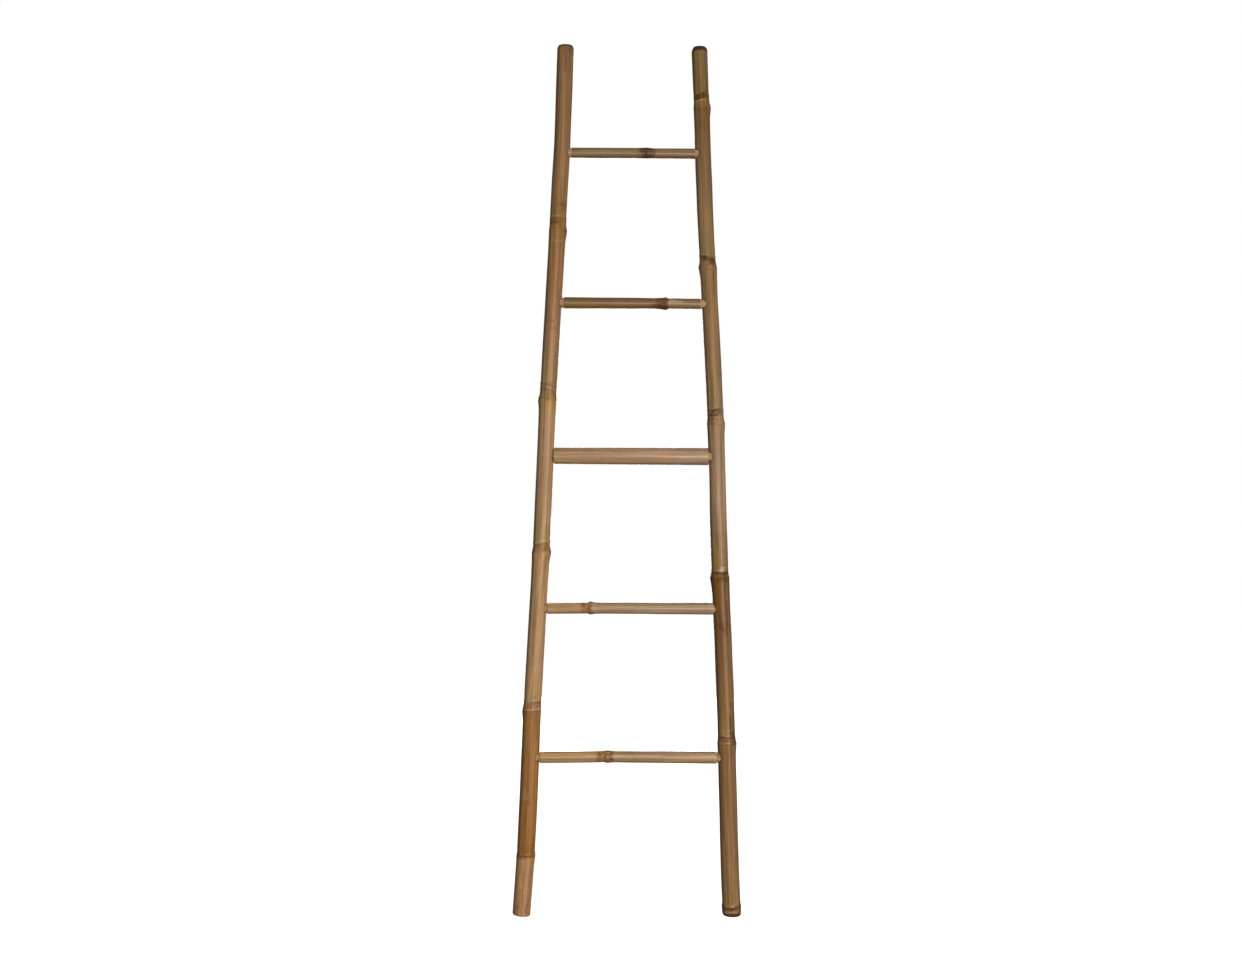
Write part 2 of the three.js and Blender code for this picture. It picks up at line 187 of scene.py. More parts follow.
# Marks away from the nodes, with their places measured along the whole culm. Some are painted
# shade and painted highlight, as said at each.
BLEMISHES = {
    "left_rail": [
        ("dark", 1549, 1552, 0.4, 30, 36), ("brown", 1537, 1563, 0.35, 40, 20),
        ("dark", 1294, 1297, 0.4, -10, 44), ("dark", 1281, 1283, 0.3, 20, 30),
        ("dark", 1004, 1006, 0.35, 0, 60), ("pale", 1007, 1009, 0.25, -6, 50),
        ("pale", 254, 282, 0.35, -20, 14), ("dark", 244, 266, 0.3, 6, 8),
        ("brown", 25, 63, 0.3, 0, 16), ("brown", 8, 34, 0.45, 34, 14),
        ("dark", 18, 26, 0.3, -26, 12), ("pale", 30, 54, 0.35, 24, 12),
        ("olive", 1836, 1896, 0.6, -16, 66), ("brown", 1840, 1868, 0.2, 14, 14),
        # The dark mark at turn 52 on the top 20 mm of the rail is painted shade.
        ("olive", 1790, 1830, 0.3, -34, 30), ("dark", 1880, 1900, 0.4, 52, 30),
        # Painted shade: the long olive streaks at turn -66 and -70 darken the left side of the rail,
        # which turns away from the key light.
        ("olive", 340, 960, 0.5, -66, 20), ("olive", 1000, 1500, 0.4, -70, 18),
    ],
    "right_rail": [
        ("dark", 622, 636, 0.35, -10, 24), ("brown", 612, 642, 0.35, 20, 26),
        ("dark", 562, 568, 0.3, 20, 12), ("olive", 1796, 1886, 0.5, -44, 34),
        # Painted shade: the long olive streak at turn -74 darkens the left side of the rail, which
        # turns away from the key light.
        ("olive", 60, 1700, 0.5, -74, 18),
        ("dark", 1886, 1902, 0.9),
    ],
    # The pale right ends of rungs 4 and 5 are partly paler shaved wood and partly painted highlight.
    "rung_4": [("pale", 184, 192, 0.6, 0, 75)],
    "rung_5": [("pale", 190, 199, 0.75, 0, 75)],
}

# Colours of the skin, one stretch between nodes after the other, from the foot up or from left to
# right. The colours of a stretch are evenly spaced from one of its ends to the other.
TONES = {
    "left_rail": [
        ("#c8996e", "#c9996b"),
        ("#ab743c", "#a57640"),
        ("#be9670", "#b88e60"),
        ("#b48c63", "#af865c"),
        ("#9e7b56", "#986b43"),
        ("#926d42", "#896744", "#8d6a46"),
    ],
    "right_rail": [
        ("#91694a", "#91694a"),
        ("#9d7854", "#99724b", "#8d683e"),
        ("#987245", "#875e32", "#724a0c"),
        ("#896930", "#957347", "#a88569", "#a18060", "#997952"),
        ("#987451", "#8a683c"),
        ("#876a48", "#866946", "#73542f"),
        ("#7e613a", "#785e39"),
    ],
    "rung_1": [("#806847", "#7a6343"), ("#816140", "#8c6c4a")],
    "rung_2": [("#826639", "#855b38"), ("#907355", "#7e6142")],
    "rung_3": [("#b89266", "#b29079")],
    "rung_4": [("#c59c70", "#c39a6b"), ("#b29175", "#b69675")],
    "rung_5": [("#c59c70", "#c9a377"), ("#ba9771", "#bd9975")],
}

# ==== Small helpers ====

ROUNDING_SAMPLES = 9

# A ripple is a sum of waves. Each goes fewer than RIPPLES_AROUND times round the culm, and their
# lengths along it differ by these factors.
RIPPLE_WAVES = 5
RIPPLES_AROUND = 4
RIPPLE_STRETCH = (0.6, 1.7)


def linear(code):
    """A colour written as #rrggbb, as linear red, green and blue."""
    channels = [int(code[i:i + 2], 16) / 255 for i in (1, 3, 5)]
    return [c / 12.92 if c <= 0.04045 else ((c + 0.055) / 1.055) ** 2.4 for c in channels]


def smooth(value, low, high):
    """0 below low, 1 above high and a soft step between them."""
    share = np.clip((value - low) / (high - low), 0, 1)
    return share * share * (3 - 2 * share)


def hump(distance, width):
    """A rounded hump of height 1 around distance 0."""
    return np.exp(-(distance / width) ** 2)


def turn_from(turn, middle):
    """The angle between two turns, in degrees, from -180 to 180."""
    return (turn - middle + 180) % 360 - 180


def ripple(turn, along, seed, length):
    """A smooth, seeded wave over the surface of a culm, from about -1 to 1."""
    random = np.random.default_rng(seed)
    total = 0
    for _ in range(RIPPLE_WAVES):
        around = random.integers(0, RIPPLES_AROUND)
        phase = random.uniform(0, 2 * math.pi, 2)
        stretch = length * random.uniform(*RIPPLE_STRETCH)
        total = total + (np.cos(around * np.radians(turn) + phase[0])
                         * np.cos(2 * math.pi * along / stretch + phase[1]))
    return total / math.sqrt(RIPPLE_WAVES)


def rounded(at, places, values, reach):
    """Straight lines between points with their corners rounded off over +-reach."""
    offsets = np.linspace(-reach, reach, ROUNDING_SAMPLES)
    return np.mean([np.interp(at + offset, places, values) for offset in offsets], axis=0)


def mesh_points(mesh):
    """The points of a mesh, one in each row."""
    points = np.empty(len(mesh.vertices) * 3)
    mesh.vertices.foreach_get("co", points)
    return points.reshape(-1, 3)


def add_object(name, data):
    """A new object in the scene."""
    added = bpy.data.objects.new(name, data)
    bpy.context.scene.collection.objects.link(added)
    return added


# ==== Measuring the CAD culms ====

# The fewest points in a ring of the skin and of a bore, and the share of the skin's radius that
# parts them. Points lie at the same place along the culm when they agree to PLACE_DIGITS.
OUTER_RING_POINTS = 14
BORE_RING_POINTS = 12
OUTER_SHARE = 0.8
PLACE_DIGITS = 5

# How far the ring of a node stands out, at least, and how close its neighbours are to each other.
NODE_RISE = 0.05 * MM
NODE_SPACING = 14 * MM

# The columns of a culm's rings, and the rings at either end of a rung, from the end inwards.
ALONG, ACROSS, DEPTH, RADIUS = range(4)
TENON_END, TENON, SHOULDER, SKIN_EDGE = range(4)

# How many rings at the start and at the end of a culm are outside its plain skin.
RAIL_CUT_RINGS = (1, 2)
RUNG_CUT_RINGS = (3, 3)

# Over how far the corners of the CAD's lines are rounded off.
RAIL_BEND_REACH = 12 * MM
RUNG_BEND_REACH = 3 * MM
RAIL_SWELL_REACH = 2.5 * MM
RUNG_SWELL_REACH = 1.5 * MM


def cad_points(node):
    """The points of a CAD node, each of them once."""
    points = mesh_points(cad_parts[node].data)
    return np.unique(np.round(points, PLACE_DIGITS + 1), axis=0)


def fit_circle(points):
    """Middle and radius of the circle through points in a plane, by least squares."""
    left = np.column_stack((2 * points, np.ones(len(points))))
    across, depth, rest = np.linalg.lstsq(left, (points ** 2).sum(axis=1), rcond=None)[0]
    return across, depth, math.sqrt(rest + across ** 2 + depth ** 2)


class Culm:
    """A CAD culm as rings around a crooked line, with its nodes, its ends and its bores."""

    def __init__(self, name):
        self.name = name
        self.is_rail = name in RAILS
        self.along_axis = 2 if self.is_rail else 0
        self.across_axis = 0 if self.is_rail else 2
        self.segments = RAIL_SEGMENTS if self.is_rail else RUNG_SEGMENTS
        self.seed = (RAILS + RUNGS).index(name) + 1
        self.bend_reach = RAIL_BEND_REACH if self.is_rail else RUNG_BEND_REACH
        self.swell_reach = RAIL_SWELL_REACH if self.is_rail else RUNG_SWELL_REACH
        points = cad_points(name)
        self.rings = self.read_rings(points)
        at_start, at_end = RAIL_CUT_RINGS if self.is_rail else RUNG_CUT_RINGS
        self.plain = self.rings[at_start:-at_end]
        self.start = self.rings[0, ALONG]
        self.end = self.rings[-1, ALONG]
        self.nodes = self.read_nodes()
        if self.is_rail:
            self.bores = [self.read_bore(points, 1), self.read_bore(points, -1)]

    def read_rings(self, points):
        """The outer rings, as (along, across, depth, radius) rows."""
        along = np.round(points[:, self.along_axis], PLACE_DIGITS)
        rings = []
        for place in np.unique(along):
            ring = points[along == place][:, (self.across_axis, 1)]
            distance = np.linalg.norm(ring - ring.mean(axis=0), axis=1)
            outer = ring[distance > OUTER_SHARE * distance.max()]
            if len(outer) >= OUTER_RING_POINTS:
                rings.append((place, *fit_circle(outer)))
        return np.array(rings)

    def read_nodes(self):
        """A node is a ring that stands out between two rings close to it."""
        along = self.plain[:, ALONG]
        radius = self.plain[:, RADIUS]
        return [
            along[i] for i in range(1, len(radius) - 1)
            if along[i + 1] - along[i - 1] < NODE_SPACING
            and radius[i] > radius[i - 1] + NODE_RISE
            and radius[i] > radius[i + 1] + NODE_RISE
        ]

    def read_bore(self, points, direction):
        """The hollow at one end as (along, radius) pairs from its mouth to its bottom."""
        along = np.round(points[:, 2], PLACE_DIGITS)
        bore = []
        for place in np.unique(along)[::direction]:
            flat = points[along == place][:, :2] - np.column_stack(self.middle(place))
            reach = np.linalg.norm(flat, axis=1)
            inner = reach[reach < OUTER_SHARE * self.radius(place)]
            if len(inner) >= BORE_RING_POINTS:
                bore.append((place, inner.mean()))
            if len(bore) > 1 and bore[-1][1] < OUTER_SHARE * bore[0][1]:
                break
        return bore

    def middle(self, along):
        """Where the middle of the culm is, across and in depth."""
        places = self.rings[:, ALONG]
        across = rounded(along, places, self.rings[:, ACROSS], self.bend_reach)
        depth = rounded(along, places, self.rings[:, DEPTH], self.bend_reach)
        return across, depth

    def radius(self, along):
        """The radius of the skin, with the swell at the nodes and without the cut ends."""
        return rounded(along, self.plain[:, ALONG], self.plain[:, RADIUS], self.swell_reach)


# ==== The shape of a culm ====

# The ridges and creases of a node, in millimetres: which of its ridges each is measured from, how
# far above that it lies, its height and its width. They are lower on a rung.
NODE_RELIEF = [
    ("scar", 0, 0.45, 1.1),
    ("scar", -3, -0.3, 1.4),
    ("lip", 0, 0.3, 2),
    ("lip", 6, -0.3, 4),
]
RUNG_RELIEF = 0.8

# How a node's line wanders on its way round: the height and the number of its waves, and how much
# they shift with each metre along the culm.
NODE_WAVE = 0.5 * MM
NODE_WAVES = 2
NODE_WAVE_SHIFT = 40

# A trimmed branch: a swelling on one side of the node and, above it, the shallow groove in
# which the branch lay.
BUD_TURN = 40
BUD_LENGTH = 13 * MM
BRANCH_GROOVE = 0.6 * MM
BRANCH_GROOVE_TURN = 24
BRANCH_GROOVE_START = 10 * MM
BRANCH_GROOVE_LENGTH = 110 * MM

OUT_OF_ROUND = 0.007
UNEVEN = 0.18 * MM
UNEVEN_LENGTH = 140 * MM

# The foot and the top of each rail, sawn or whittled, in millimetres: the length and the inset of
# the bevel at turn -90 and at turn +90, and its knife facets. "slant" is how much higher the cut
# of a foot is at turn -90.
RAIL_ENDS = {
    "left_rail": [
        {"length": (2.5, 2.5), "inset": (1.4, 1.4), "slant": 3.6, "facets": 0},
        {"length": (7, 7), "inset": (3.2, 3.2), "facets": 0},
    ],
    "right_rail": [
        {"length": (5, 4), "inset": (3.2, 2.8), "slant": 0.8, "facets": 0},
        {"length": (13, 7), "inset": (5, 4), "facets": 9},
    ],
}
BEVEL_ROUNDING = 1.8
CUT_FROM_BEVEL = 0.25 * MM
LEAST_WALL = 1.2 * MM
RIM_ROWS = 4
SAW_ROUGHNESS = 0.12 * MM

# Knife facets. On a rail end the bevel starts at LEAST_BEVEL of its inset and is whole from
# WHOLE_BEVEL of its length. On a tenon, facets of sharpness 1 would be flat.
FACET_DEPTH = 4 * MM
LEAST_BEVEL = 0.4
WHOLE_BEVEL = 0.2
END_FACET_PHASE = 17
TENON_FACETS = 11
TENON_FACET_PHASE = 7
TENON_FACET_SHARPNESS = 0.5

SHOULDER_ROWS = 3
SHOULDER_LEAN = 0.5


def node_rise(turn, along, node, shape):
    """How far a point lies above a node's CAD ring, following the node's slant and its wave."""
    slant = shape["slant"] * MM / 2 * np.sin(np.radians(turn))
    wave = NODE_WAVE * np.sin(np.radians(NODE_WAVES * turn) + NODE_WAVE_SHIFT * node)
    return along - node - slant - wave


def node_relief(turn, rise, shape, scale):
    """The two ridges of a node with their creases, and the branch that was trimmed off."""
    relief = 0
    for ridge, above, height, width in NODE_RELIEF:
        relief = relief + height * MM * hump(rise - (shape[ridge] + above) * MM, width * MM)
    bud_turn, bud_rise, bud_swell = shape["bud"]
    aside = turn_from(turn, bud_turn)
    swell = bud_swell * MM * hump(aside, BUD_TURN) * hump(rise - bud_rise * MM, BUD_LENGTH)
    lip = rise - shape["lip"] * MM
    fade = smooth(lip, 0, BRANCH_GROOVE_START) * (1 - smooth(lip, 0, BRANCH_GROOVE_LENGTH))
    groove = BRANCH_GROOVE * hump(aside, BRANCH_GROOVE_TURN) * fade
    return scale * (relief + swell - groove)


def skin_radius(culm, turn, along):
    """The outer surface of a culm, without its cut ends."""
    radius = culm.radius(along)
    oval = np.cos(np.radians(2 * turn) + culm.seed)
    radius = radius * (1 + OUT_OF_ROUND * oval)
    radius = radius + UNEVEN * ripple(turn, along, culm.seed, UNEVEN_LENGTH)
    scale = 1 if culm.is_rail else RUNG_RELIEF
    for node, shape in zip(culm.nodes, NODES[culm.name]):
        rise = node_rise(turn, along, node, shape)
        radius = radius + node_relief(turn, rise, shape, scale)
    return radius


def facets(turn, count, phase):
    """A polygon's inner distance as a share of its circle's radius."""
    step = 360 / count
    inside = (turn - phase) % step - step / 2
    return math.cos(math.radians(step / 2)) / np.cos(np.radians(inside))


def end_bevel(turn, depth, cut, seed):
    """How far a cut rail end is set in, at a depth below the end."""
    across = (1 + np.sin(np.radians(turn))) / 2
    sides = (cut["length"], cut["inset"])
    length, inset = (MM * (left + (right - left) * across) for left, right in sides)
    share = np.clip(1 - depth / length, 0, 1)
    bevel = inset * share ** BEVEL_ROUNDING
    if cut["facets"]:
        bevel = bevel * (LEAST_BEVEL + (1 - LEAST_BEVEL) * smooth(share, 0, WHOLE_BEVEL))
        flats = 1 - facets(turn, cut["facets"], END_FACET_PHASE * seed)
        bevel = bevel + FACET_DEPTH * share * flats
    return bevel


def row_places(culm, start, end):
    """Where the rows of the skin lie: close together at the nodes and at the ends."""
    places = [start]
    while places[-1] < end - END_ROW_STEP / 2:
        here = places[-1]
        step = ROW_STEP
        if here < start + END_REACH or here > end - END_REACH:
            step = END_ROW_STEP
        for node in culm.nodes:
            if node - NODE_REACH_BELOW < here < node + NODE_REACH_ABOVE:
                step = NODE_ROW_STEP
        places.append(min(here + step, end))
    return np.array(places)


class Lathe:
    """Rows of points around a culm, from one end to the other, that make a closed mesh."""

    def __init__(self, culm):
        self.culm = culm
        self.turn = np.arange(culm.segments) * 360 / culm.segments
        self.along = []
        self.radius = []
        self.faces_below = []

    def row(self, along, radius, material):
        """Adds a row. The faces between the row before it and this one have the material."""
        self.along.append(np.broadcast_to(along, self.turn.shape))
        self.radius.append(np.broadcast_to(radius, self.turn.shape))
        self.faces_below.append(material)

    def points(self):
        """The points in space, with one at each end of the line to close the mesh."""
        culm = self.culm
        along = np.concatenate([self.along[0].mean(keepdims=True), *self.along,
                                self.along[-1].mean(keepdims=True)])
        radius = np.concatenate([[0], *self.radius, [0]])
        turn = np.radians(np.concatenate([[0], *[self.turn] * len(self.along), [0]]))
        across, depth = culm.middle(along)
        points = np.empty((len(along), 3))
        points[:, culm.along_axis] = along
        points[:, culm.across_axis] = across + radius * np.sin(turn)
        points[:, 1] = depth - radius * np.cos(turn)
        return points

    def faces(self):
        """The faces, which look outwards, and their materials."""
        count = self.culm.segments
        rows = len(self.along)
        last = 1 + rows * count
        faces = []
        for j in range(count):
            beside = (j + 1) % count
            faces.append((0, 1 + beside, 1 + j))
            for i in range(rows - 1):
                low = 1 + i * count
                high = low + count
                faces.append((low + j, low + beside, high + beside, high + j))
            faces.append((last, last - count + j, last - count + beside))
        if not self.culm.is_rail:
            faces = [face[::-1] for face in faces]
        materials = [*self.faces_below, self.faces_below[-1]] * count
        return faces, materials

    def build(self, name):
        """The lathed mesh as an object."""
        mesh = bpy.data.meshes.new(name)
        faces, materials = self.faces()
        mesh.from_pydata(self.points().tolist(), [], faces)
        mesh.polygons.foreach_set("material_index", materials)
        mesh.update()
        return add_object(name, mesh)


def rail_lathe(culm):
    """A rail from the bottom of its lower bore, out over its skin and into its upper bore."""
    lathe = Lathe(culm)
    turn = lathe.turn
    foot, top = RAIL_ENDS[culm.name]
    lift = foot["slant"] * MM * (1 - np.sin(np.radians(turn))) / 2

    def outside(along):
        radius = skin_radius(culm, turn, along)
        radius = radius - end_bevel(turn, along - culm.start, foot, culm.seed)
        return radius - end_bevel(turn, culm.end - along, top, culm.seed)

    def raised(along):
        return along + lift * (1 - smooth(along - culm.start, 0, END_REACH))

    def bore_rows(bore):
        for place, radius in bore:
            yield place, np.minimum(radius, outside(place) - LEAST_WALL)

    def rim_rows(mouth, inner, outer):
        roughness = SAW_ROUGHNESS * ripple(turn, mouth, culm.seed, UNEVEN_LENGTH)
        for share in np.linspace(0, 1, RIM_ROWS)[1:-1]:
            inward = 1 if mouth == culm.start else -1
            yield mouth + inward * np.abs(roughness), inner + (outer - inner) * share

    lower = list(bore_rows(culm.bores[0]))
    upper = list(bore_rows(culm.bores[1]))
    for place, radius in lower[::-1]:
        lathe.row(raised(place), radius, PITH)
    for place, radius in rim_rows(culm.start, lower[0][1], outside(culm.start)):
        lathe.row(raised(place), radius, CUT)
    for place in row_places(culm, culm.start, culm.end):
        at_end = min(place - culm.start, culm.end - place) < END_REACH
        bevelled = np.mean(skin_radius(culm, turn, place) - outside(place)) > CUT_FROM_BEVEL
        lathe.row(raised(place), outside(place), CUT if at_end and bevelled else SKIN)
    for place, radius in list(rim_rows(culm.end, upper[0][1], outside(culm.end)))[::-1]:
        lathe.row(place, radius, CUT)
    for i, (place, radius) in enumerate(upper):
        lathe.row(place, radius, PITH if i else CUT)
    return lathe


def rung_lathe(culm):
    """A rung from the end of its left tenon to the end of its right one."""
    lathe = Lathe(culm)
    turn = lathe.turn
    rings = culm.rings
    flats = facets(turn, TENON_FACETS, TENON_FACET_PHASE * culm.seed)
    whittled = flats ** TENON_FACET_SHARPNESS
    bevel = rings[SKIN_EDGE, ALONG] - rings[SHOULDER, ALONG]

    def end_rows(ring_rows, inward):
        """The tenon and the shoulder at one end, from the outside in."""
        tenon = ring_rows[TENON, RADIUS] * whittled
        shoulder = ring_rows[SHOULDER, ALONG]
        skin = skin_radius(culm, turn, shoulder + inward * bevel)
        rows = [(ring_rows[TENON_END, ALONG], tenon - bevel, CUT)]
        rows.append((ring_rows[TENON, ALONG], tenon, RAW))
        for share in np.linspace(0, 1, SHOULDER_ROWS + 1)[:-1]:
            place = shoulder + inward * bevel * SHOULDER_LEAN * share ** 2
            rows.append((place, tenon + (skin - tenon) * share, RAW))
        return rows

    for row in end_rows(rings, 1):
        lathe.row(*row)
    left_edge = rings[SKIN_EDGE, ALONG]
    right_edge = rings[-1 - SKIN_EDGE, ALONG]
    for i, place in enumerate(row_places(culm, left_edge, right_edge)):
        lathe.row(place, skin_radius(culm, turn, place), SKIN if i else RAW)
    for place, radius, _ in end_rows(rings[::-1], -1)[::-1]:
        lathe.row(place, radius, RAW)
    return lathe


culms = {name: Culm(name) for name in RAILS + RUNGS}

# ==== Drilling the mortises and the nail holes ====

FIT_GAP = 0.3 * MM
SEAT_GAP = 0.6 * MM
CUT_PAST = 5 * MM
HOLE_SEGMENTS = 48
NAIL_SHANK_SHARE = 0.45


class Joint:
    """A rung's tenon in a rail. "inward" is the direction along X from the rail to the rung."""

    def __init__(self, rung, side):
        rings = culms[rung].rings
        rows = rings if side == "left" else rings[::-1]
        self.rail = side + "_rail"
        self.inward = 1 if side == "left" else -1
        self.tenon_end = rows[TENON_END, ALONG]
        self.shoulder = rows[SHOULDER, ALONG]
        _, self.height, self.depth, self.radius = rows[TENON]
        self.seat = rows[SKIN_EDGE, RADIUS]
        self.nail = f"{rung}_{side}_nail"
        self.nail_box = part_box(self.nail)
        self.rung = rung


joints = [Joint(rung, side) for rung in RUNGS for side in ("left", "right")]


def cylinder(mesh, start, end, radius, segments):
    """Adds a closed cylinder between two points to a bmesh."""
    start, end = Vector(start), Vector(end)
    direction = end - start
    turned = direction.to_track_quat("Z", "Y").to_matrix().to_4x4()
    matrix = Matrix.Translation((start + end) / 2) @ turned
    bmesh.ops.create_cone(mesh, cap_ends=True, segments=segments, radius1=radius, radius2=radius,
                          depth=direction.length, matrix=matrix)


def cut(piece, cylinders, material):
    """Cuts cylinders out of a piece. The walls of the holes get one of its materials."""
    mesh = bmesh.new()
    for start, end, radius in cylinders:
        cylinder(mesh, start, end, radius, HOLE_SEGMENTS)
    data = bpy.data.meshes.new("cutter")
    mesh.to_mesh(data)
    mesh.free()
    for polygon in data.polygons:
        polygon.material_index = material
    for slot in piece.material_slots:
        data.materials.append(slot.material)
    cutter = add_object("cutter", data)
    boolean = piece.modifiers.new("cut", "BOOLEAN")
    boolean.operation = "DIFFERENCE"
    boolean.solver = "EXACT"
    boolean.material_mode = "INDEX"
    boolean.object = cutter
    whole = piece.evaluated_get(bpy.context.evaluated_depsgraph_get())
    result = bpy.data.meshes.new_from_object(whole)
    piece.modifiers.clear()
    piece.data = result
    bpy.data.objects.remove(cutter)


def mortise(joint):
    """The hole for a tenon, and the seat for the shoulder where that sinks into the rail."""
    start = (joint.tenon_end - joint.inward * FIT_GAP, joint.depth, joint.height)
    shoulder = (joint.shoulder - joint.inward * FIT_GAP, joint.depth, joint.height)
    end = (joint.shoulder + joint.inward * CUT_PAST, joint.depth, joint.height)
    return [(start, end, joint.radius + FIT_GAP), (shoulder, end, joint.seat + SEAT_GAP)]


def nail_hole(joint):
    """The hole around a nail's shank, from past its point out through the back."""
    low, high = joint.nail_box
    middle = (low + high) / 2
    radius = (high.x - low.x) / 2 * NAIL_SHANK_SHARE + FIT_GAP
    return (middle.x, low.y - FIT_GAP, middle.z), (middle.x, high.y + CUT_PAST, middle.z), radius


# ==== Painting a culm: what the materials read from its points ====

# The edges of a mark: how soft they are in millimetres and around the culm, the height of their
# waves and how many go round, and how fast the ends sway, in radians to the millimetre.
MARK_EDGE = 0.8
MARK_EDGE_TURN = 12
MARK_WAVE = 0.6
MARK_WAVES = (3, 5, 9)
MARK_SWAYS = (0.21, 0.5)
PHASE_RANGE = 6

# Middle turn, half width and tilt of a mark that runs all the way round.
ALL_ROUND = (0, 200, 0)

# The skin is warmer below a node, and on a rail it is greener above it: the strength, and the
# millimetres over which it fades and at which it stops.
WARMTH = (0.35, 34, 120)
FRESHNESS = (0.8, 50, 150)

NODE_TONE_STEP = 2.5 * MM
DRIFT_SEED = 10
TONE_DRIFT = 0.05
TONE_DRIFT_LENGTH = 300 * MM
# How far and how strongly the skin is darker round each joint.
JOINT_DARK_REACH = 2 * MM
JOINT_DARK_STRENGTH = 0.45
END_GRIME = 4 * MM
END_GRIME_STRENGTH = 0.4
PATTERN_SHIFT = 3.7


def inside_mark(turn, rise, mark, seed):
    """Where a mark lies, from 0 to 1. Its edges are wavy, and so are its ends around the culm."""
    _, low, high, _, *span = mark
    middle, half, tilt = [*span, 0][:3] if span else ALL_ROUND
    random = np.random.default_rng(seed)
    rise = rise - tilt * np.sin(np.radians(turn)) / 2
    for n in MARK_WAVES:
        phase = random.uniform(0, PHASE_RANGE)
        rise = rise + MARK_WAVE / math.sqrt(n) * np.cos(np.radians(turn * n) + phase)
    inside = smooth(rise, low - MARK_EDGE, low + MARK_EDGE)
    inside = inside * (1 - smooth(rise, high - MARK_EDGE, high + MARK_EDGE))
    edge = min(MARK_EDGE_TURN, half / 2)
    phases = random.uniform(0, PHASE_RANGE, len(MARK_SWAYS))
    sway = edge * np.mean([np.cos(rise * k + p) for k, p in zip(MARK_SWAYS, phases)], axis=0)
    return inside * (1 - smooth(np.abs(turn_from(turn + sway, middle)), half - edge, half + edge))


def marks_on(culm, turn, along):
    """How strong each tone of the marks is, from 0 to 1."""
    tones = {tone: np.zeros(len(along)) for tone in MARK_TONES}

    def add(marks, rise, seed):
        for i, mark in enumerate(marks):
            tone, _, _, strength = mark[:4]
            share = strength * inside_mark(turn, rise, mark, [culm.seed, seed, i])
            tones[tone] = np.maximum(tones[tone], share)

    def fade(tone, values, distance, side):
        strength, length, stop = values
        share = strength * np.exp(-np.clip(distance, 0, None) / length)
        tones[tone] = np.maximum(tones[tone], share * (side & (distance < stop)))

    for i, (node, shape) in enumerate(zip(culm.nodes, NODES[culm.name])):
        rise = node_rise(turn, along, node, shape) / MM
        add(shape["marks"], rise - shape["base"], i)
        below_lip = rise < shape["lip"]
        fade("warm", WARMTH, shape["scar"] - rise, below_lip)
        fade("green", FRESHNESS, rise - shape["lip"], culm.is_rail & ~below_lip)
    add(BLEMISHES.get(culm.name, []), along / MM, len(culm.nodes))
    return tones


def joint_darkening(culm, points):
    """Darker skin in a ring round each tenon on its rail, and round each shoulder on its rung."""
    stain = np.zeros(len(points))
    for joint in joints:
        if culm.name == joint.rail:
            reach = np.hypot(points[:, 1] - joint.depth, points[:, 2] - joint.height) - joint.radius
            facing = joint.inward * (points[:, 0] - (joint.tenon_end + joint.shoulder) / 2) > 0
            stain = np.maximum(stain, facing * hump(np.clip(reach, 0, None), JOINT_DARK_REACH))
        elif culm.name == joint.rung:
            reach = np.abs(points[:, 0] - joint.shoulder)
            stain = np.maximum(stain, hump(reach, JOINT_DARK_REACH / 2))
    return JOINT_DARK_STRENGTH * stain


def end_grime(culm, along):
    """Darker skin at the cut ends of a rail."""
    if not culm.is_rail:
        return np.zeros(len(along))
    return END_GRIME_STRENGTH * np.exp(-np.minimum(along - culm.start, culm.end - along) / END_GRIME)


def tone_on(culm, turn, along):
    """The colour of the skin, which changes from node to node and drifts between them.

    Red and green drift together, and blue on its own.
    """
    edges = [culm.start, *culm.nodes, culm.end]
    tone = None
    for i, colours in enumerate(TONES[culm.name]):
        places = np.linspace(edges[i], edges[i + 1], len(colours))
        channels = zip(*(linear(colour) for colour in colours))
        stretch = np.column_stack([np.interp(along, places, channel) for channel in channels])
        weight = smooth(along, edges[i] - NODE_TONE_STEP, edges[i] + NODE_TONE_STEP)[:, None]
        tone = stretch if i == 0 else tone * (1 - weight) + stretch * weight
    for channel in range(3):
        drift = ripple(turn, along, DRIFT_SEED * culm.seed + channel // 2, TONE_DRIFT_LENGTH)
        tone[:, channel] *= 1 + TONE_DRIFT * drift
    return tone


def paint(culm, piece):
    """Writes the attributes that the bamboo materials read onto the points of a piece."""
    mesh = piece.data
    points = mesh_points(mesh)
    along = points[:, culm.along_axis]
    middle_across, middle_depth = culm.middle(along)
    across = points[:, culm.across_axis] - middle_across
    depth = points[:, 1] - middle_depth
    turn = np.degrees(np.arctan2(across, -depth))
    values = marks_on(culm, turn, along)
    for stain in (joint_darkening(culm, points), end_grime(culm, along)):
        values["dark"] = np.maximum(values["dark"], stain)
    for name, value in values.items():
        mesh.attributes.new(name, "FLOAT", "POINT").data.foreach_set("value", value)
    shifted = np.column_stack((across, depth, along + PATTERN_SHIFT * culm.seed))
    mesh.attributes.new("place", "FLOAT_VECTOR", "POINT").data.foreach_set("vector", shifted.ravel())
    tone = np.column_stack((tone_on(culm, turn, along), np.ones(len(along))))
    mesh.attributes.new("tone", "FLOAT_COLOR", "POINT").data.foreach_set("color", tone.ravel())


# ==== Materials ====

# The outputs and the inputs of shader nodes that are known by a number.
COLOUR_OUT, VECTOR_OUT, VALUE_OUT = range(3)
OBJECT_PLACE_OUT = 3
MIX_INPUTS = (0, 6, 7)
MIX_OUT = 2

